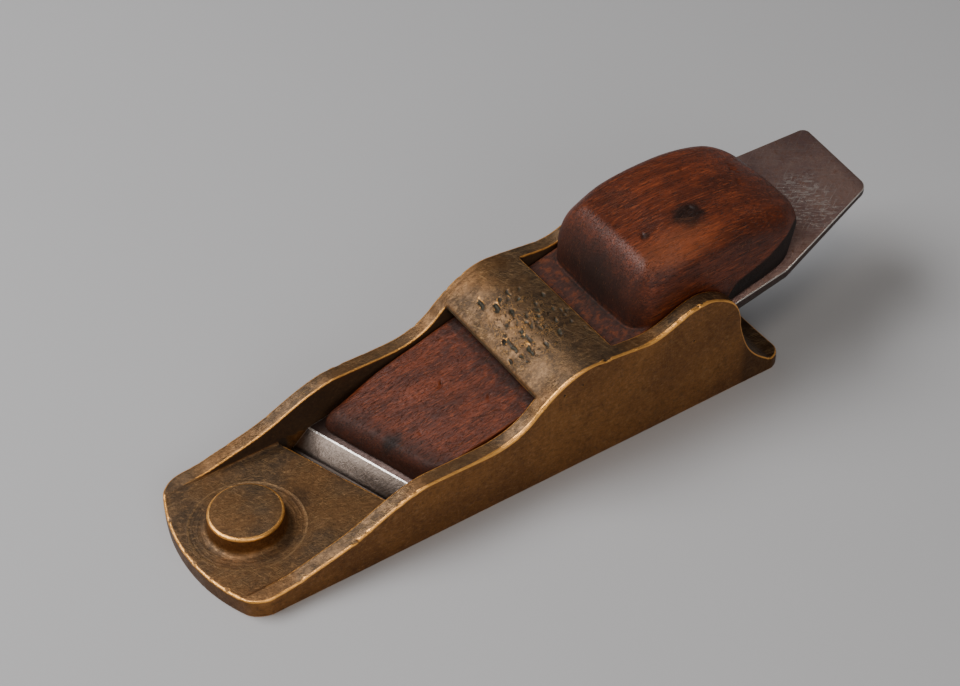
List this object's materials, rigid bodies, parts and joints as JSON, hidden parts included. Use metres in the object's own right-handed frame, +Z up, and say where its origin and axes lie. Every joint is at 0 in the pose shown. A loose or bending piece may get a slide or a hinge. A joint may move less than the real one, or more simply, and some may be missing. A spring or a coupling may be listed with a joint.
{
  "type": "hand plane",
  "caption": "Small cast gunmetal hand plane: skewed low-angle iron set bevel up, held under a bridge by a wooden wedge with a palm swell; round button at the toe.",
  "frame": {"origin": "middle of the sole, on the sole's plane, halfway across and 87 mm behind the toe", "axes": "+X towards the heel, -X the toe and the direction of the push, +Y the right side, +Z up"},
  "size_m": [0.2093, 0.0506, 0.0518],
  "materials": {
    "gunmetal": "old bronze with a dark brown patina, rubbed bright on its edges",
    "old_iron": "tarnished and rust-mottled, ground bright on the bevel",
    "laid_steel": "ground steel along the cutting edge",
    "wedge_wood": "dark red-brown hardwood, handled smooth, with a black centre stain"
  },
  "bodies": {
    "plane_body": {"toe_plate": "gunmetal", "toe_button": "gunmetal", "left_cheek": "gunmetal", "right_cheek": "gunmetal", "bridge": "gunmetal", "bed_ramp": "gunmetal", "heel_scoop": "gunmetal"},
    "iron": {"iron_blank": "old_iron", "steel_bit": "laid_steel"},
    "wedge": {"wedge_shank": "wedge_wood", "palm_swell": "wedge_wood"}
  },
  "joints": [
    {"name": "iron_slide", "type": "slide", "parent": "plane_body", "child": "iron", "axis": [0.9763, 0, 0.2164], "range_m": [-0.001, 0.07]},
    {"name": "wedge_slide", "type": "slide", "parent": "iron", "child": "wedge", "axis": [0.9806, 0, 0.1959], "range_m": [0, 0.08]}
  ]
}
